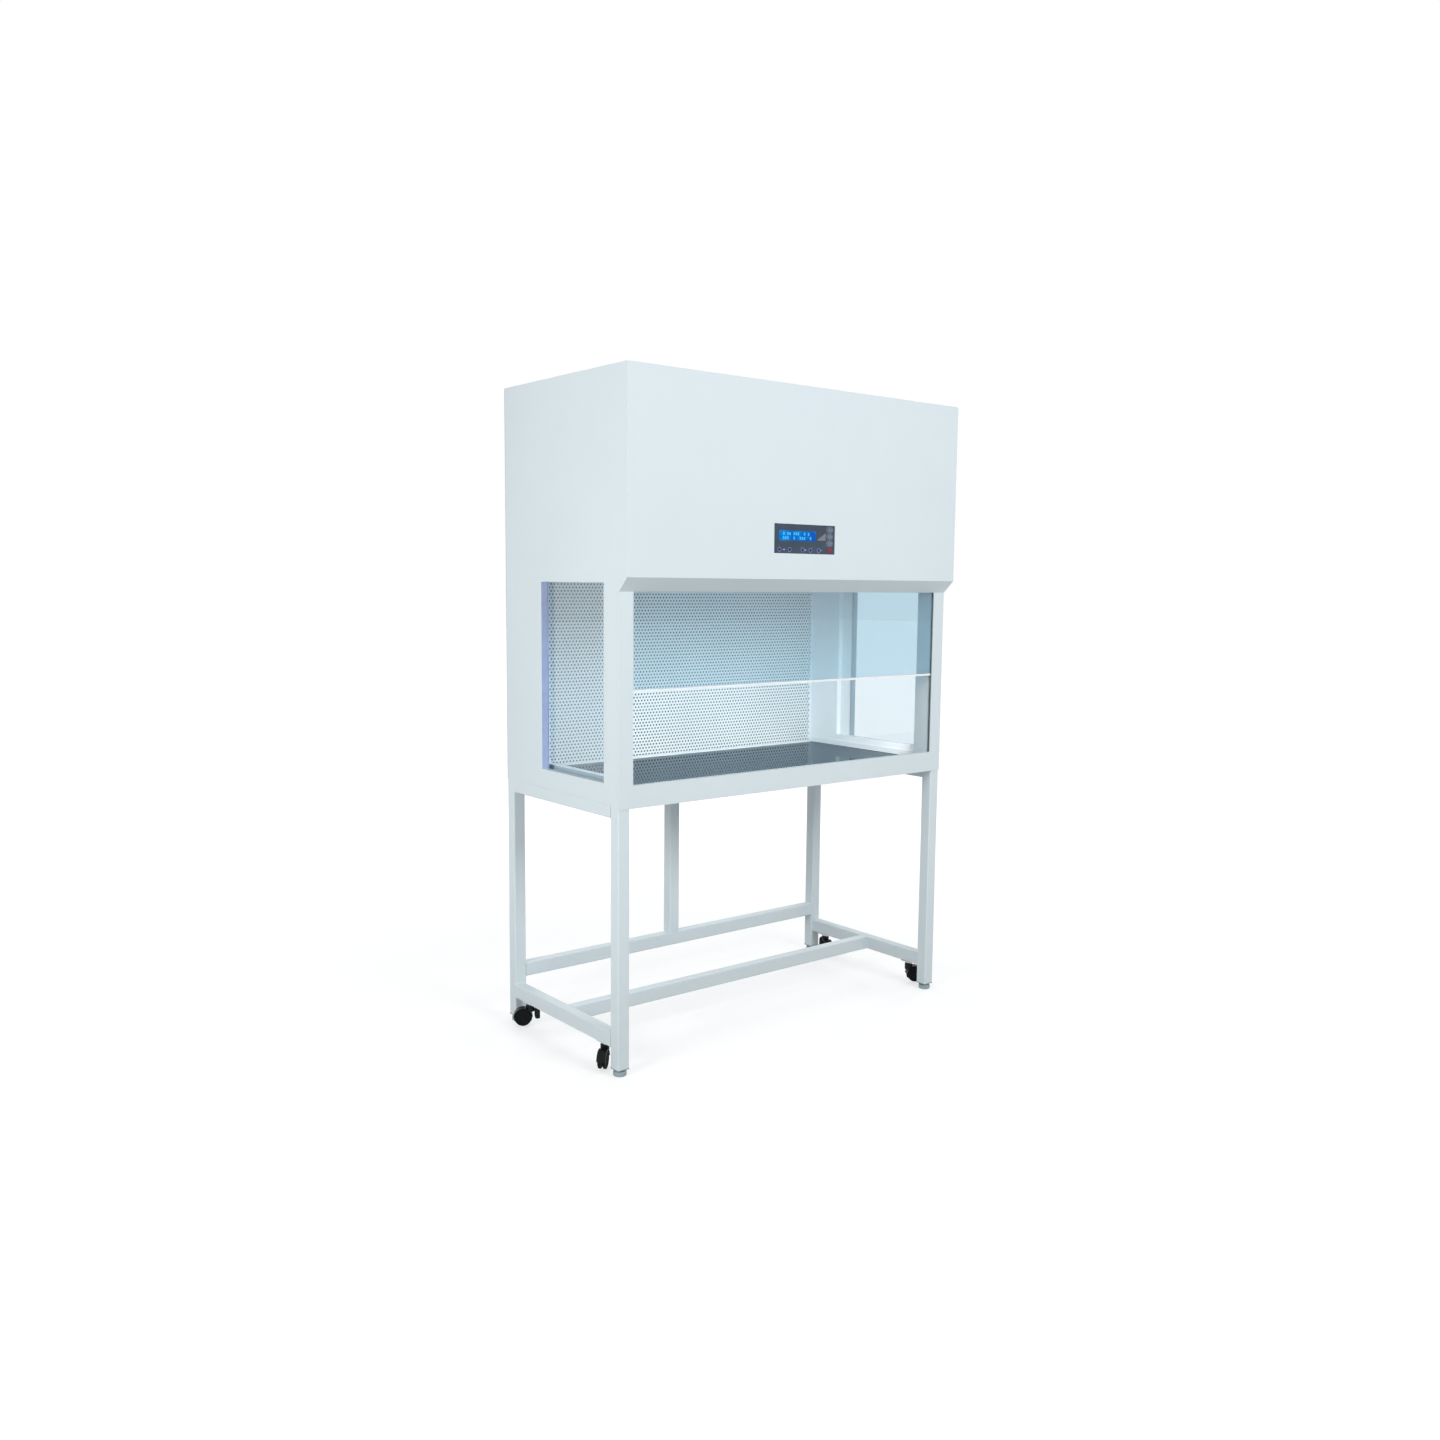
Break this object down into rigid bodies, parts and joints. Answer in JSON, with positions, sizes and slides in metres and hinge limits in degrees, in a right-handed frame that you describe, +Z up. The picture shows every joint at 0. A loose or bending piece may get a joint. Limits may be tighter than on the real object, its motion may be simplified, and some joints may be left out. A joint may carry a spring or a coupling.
{
  "type": "horizontal laminar flow cabinet",
  "caption": "Free-standing clean air cabinet with a tall canopy, sliding glass sash, side windows, perforated rear wall and a steel tube stand on levelling feet and casters.",
  "frame": {"origin": "centre of the bounding box on the floor", "axes": "+Z up, +Y towards the back of the cabinet, +X to the right as seen from the front"},
  "size_m": [1.2542, 0.596, 1.79],
  "materials": {
    "painted_steel": "powder coated, satin",
    "stainless_sheet": "polished",
    "galvanised_sheet": "matt galvanised",
    "bar_steel": "bare",
    "sash_glass": "clear, light blue tint",
    "window_glass": "clear",
    "bright_trim": "anodised",
    "guide_plastic": "moulded",
    "foot_plastic": "moulded",
    "caster_black": "moulded",
    "panel_grey": "fine texture",
    "display_blue": "clear window over a blue display",
    "key_grey": "moulded",
    "key_red": "moulded",
    "board_green": "solder mask",
    "zinc_steel": "bright zinc",
    "filter_card": "pleated filter paper in a board frame",
    "lamp_white": "glass tubes in a white fitting",
    "motor_grey": "enamel",
    "inlet_black": "moulded",
    "wheel_alloy": "galvanised"
  },
  "bodies": {
    "cabinet": {"air_screen": "stainless_sheet", "base_pan": "painted_steel", "blower_casings": "galvanised_sheet", "blower_deck": "galvanised_sheet", "blower_motor": "motor_grey", "canopy_front": "painted_steel", "caster_mounts": "zinc_steel", "control_bezel": "panel_grey", "control_board": "board_green", "display_window": "display_blue", "front_apron": "painted_steel", "front_posts": "painted_steel", "lamp_fitting": "lamp_white", "leg_plugs": "foot_plastic", "main_filter": "filter_card", "power_inlet": "inlet_black", "prefilter": "filter_card", "pulley_brackets": "zinc_steel", "rear_panel": "painted_steel", "rear_screws": "zinc_steel", "roof": "painted_steel", "sash_guides": "guide_plastic", "side_liners": "stainless_sheet", "side_panel_left": "painted_steel", "side_panel_right": "painted_steel", "side_windows": "window_glass", "stand_crossbar_centre": "painted_steel", "stand_crossbar_rear": "painted_steel", "stand_legs_front": "painted_steel", "stand_legs_rear": "painted_steel", "stand_lower_bars": "painted_steel", "stand_post_rear_centre": "painted_steel", "stand_top_rail_rear": "painted_steel", "stand_top_rails_side": "painted_steel", "supply_box": "galvanised_sheet", "worktop": "stainless_sheet"},
    "sash": {"sash_glass": "sash_glass", "sash_edge_trim": "bright_trim", "sash_rope_clips": "zinc_steel"},
    "balance": {"balance_weights": "bar_steel"},
    "pulleys": {"balance_pulleys": "wheel_alloy"},
    "fan_rotor": {"blower_wheels": "wheel_alloy"},
    "key_fan_body": {"key_fan": "key_grey"},
    "key_lamp_body": {"key_lamp": "key_grey"},
    "key_uv_body": {"key_uv": "key_grey"},
    "key_power_body": {"key_power": "key_red"},
    "foot_front_left": {"levelling_foot_front_left": "foot_plastic"},
    "caster_front_left": {"caster_housing_front_left": "caster_black"},
    "rollers_front_left": {"caster_wheels_front_left": "caster_black"},
    "foot_front_right": {"levelling_foot_front_right": "foot_plastic"},
    "caster_front_right": {"caster_housing_front_right": "caster_black"},
    "rollers_front_right": {"caster_wheels_front_right": "caster_black"},
    "foot_rear_left": {"levelling_foot_rear_left": "foot_plastic"},
    "caster_rear_left": {"caster_housing_rear_left": "caster_black"},
    "rollers_rear_left": {"caster_wheels_rear_left": "caster_black"},
    "brake_rear_left": {"caster_pedal_rear_left": "caster_black"},
    "foot_rear_right": {"levelling_foot_rear_right": "foot_plastic"},
    "caster_rear_right": {"caster_housing_rear_right": "caster_black"},
    "rollers_rear_right": {"caster_wheels_rear_right": "caster_black"},
    "brake_rear_right": {"caster_pedal_rear_right": "caster_black"}
  },
  "joints": [
    {"name": "sash_slide", "type": "slide", "parent": "cabinet", "child": "sash", "axis": [0, 0, 1], "range_m": [-0.234, 0.238]},
    {"name": "balance_slide", "type": "slide", "parent": "cabinet", "child": "balance", "axis": [0, 0, 1], "range_m": [-0.239, 0.235]},
    {"name": "pulley_turn", "type": "hinge", "parent": "cabinet", "child": "pulleys", "pos_m": [0, -0.2375, 1.762], "axis": [1, 0, 0], "continuous": true},
    {"name": "fan_spin", "type": "hinge", "parent": "cabinet", "child": "fan_rotor", "pos_m": [0, 0.012, 1.624], "axis": [1, 0, 0], "continuous": true},
    {"name": "key_fan_press", "type": "slide", "parent": "cabinet", "child": "key_fan_body", "axis": [0, 1, 0], "range_m": [0, 0.0008], "stiffness_N_per_m": 600, "springref_m": -0.002},
    {"name": "key_lamp_press", "type": "slide", "parent": "cabinet", "child": "key_lamp_body", "axis": [0, 1, 0], "range_m": [0, 0.0008], "stiffness_N_per_m": 600, "springref_m": -0.002},
    {"name": "key_uv_press", "type": "slide", "parent": "cabinet", "child": "key_uv_body", "axis": [0, 1, 0], "range_m": [0, 0.0008], "stiffness_N_per_m": 600, "springref_m": -0.002},
    {"name": "key_power_press", "type": "slide", "parent": "cabinet", "child": "key_power_body", "axis": [0, 1, 0], "range_m": [0, 0.0008], "stiffness_N_per_m": 600, "springref_m": -0.002},
    {"name": "caster_swivel_front_left", "type": "hinge", "parent": "cabinet", "child": "caster_front_left", "pos_m": [-0.58, -0.174, 0.06], "axis": [0, 0, 1], "continuous": true},
    {"name": "roller_spin_front_left", "type": "hinge", "parent": "caster_front_left", "child": "rollers_front_left", "pos_m": [-0.59463, -0.18764, 0.028], "axis": [0.682, -0.7314, 0], "continuous": true},
    {"name": "foot_turn_front_left", "type": "hinge", "parent": "cabinet", "child": "foot_front_left", "pos_m": [-0.5795, -0.2425, 0], "axis": [0, 0, 1], "continuous": true},
    {"name": "caster_swivel_front_right", "type": "hinge", "parent": "cabinet", "child": "caster_front_right", "pos_m": [0.58, -0.174, 0.06], "axis": [0, 0, 1], "continuous": true},
    {"name": "roller_spin_front_right", "type": "hinge", "parent": "caster_front_right", "child": "rollers_front_right", "pos_m": [0.59732, -0.184, 0.028], "axis": [0.5, 0.866, 0], "continuous": true},
    {"name": "foot_turn_front_right", "type": "hinge", "parent": "cabinet", "child": "foot_front_right", "pos_m": [0.5795, -0.2425, 0], "axis": [0, 0, 1], "continuous": true},
    {"name": "caster_swivel_rear_left", "type": "hinge", "parent": "cabinet", "child": "caster_rear_left", "pos_m": [-0.58, 0.21, 0.06], "axis": [0, 0, 1], "continuous": true},
    {"name": "roller_spin_rear_left", "type": "hinge", "parent": "caster_rear_left", "child": "rollers_rear_left", "pos_m": [-0.59732, 0.22, 0.028], "axis": [-0.5, -0.866, 0], "continuous": true},
    {"name": "brake_press_rear_left", "type": "hinge", "parent": "caster_rear_left", "child": "brake_rear_left", "pos_m": [-0.56614, 0.202, 0.048], "axis": [0.5, 0.866, 0], "range_deg": [0, 14]},
    {"name": "foot_turn_rear_left", "type": "hinge", "parent": "cabinet", "child": "foot_rear_left", "pos_m": [-0.5795, 0.2785, 0], "axis": [0, 0, 1], "continuous": true},
    {"name": "caster_swivel_rear_right", "type": "hinge", "parent": "cabinet", "child": "caster_rear_right", "pos_m": [0.58, 0.21, 0.06], "axis": [0, 0, 1], "continuous": true},
    {"name": "roller_spin_rear_right", "type": "hinge", "parent": "caster_rear_right", "child": "rollers_rear_right", "pos_m": [0.57186, 0.19173, 0.028], "axis": [0.9135, -0.4067, 0], "continuous": true},
    {"name": "brake_press_rear_right", "type": "hinge", "parent": "caster_rear_right", "child": "brake_rear_right", "pos_m": [0.58651, 0.22462, 0.048], "axis": [-0.9135, 0.4067, 0], "range_deg": [0, 14]},
    {"name": "foot_turn_rear_right", "type": "hinge", "parent": "cabinet", "child": "foot_rear_right", "pos_m": [0.5795, 0.2785, 0], "axis": [0, 0, 1], "continuous": true}
  ],
  "couplings": [
    {"joint": "balance_slide", "follows": "sash_slide", "ratio": -1},
    {"joint": "pulley_turn", "follows": "sash_slide", "rad_per_m": -57.143}
  ]
}
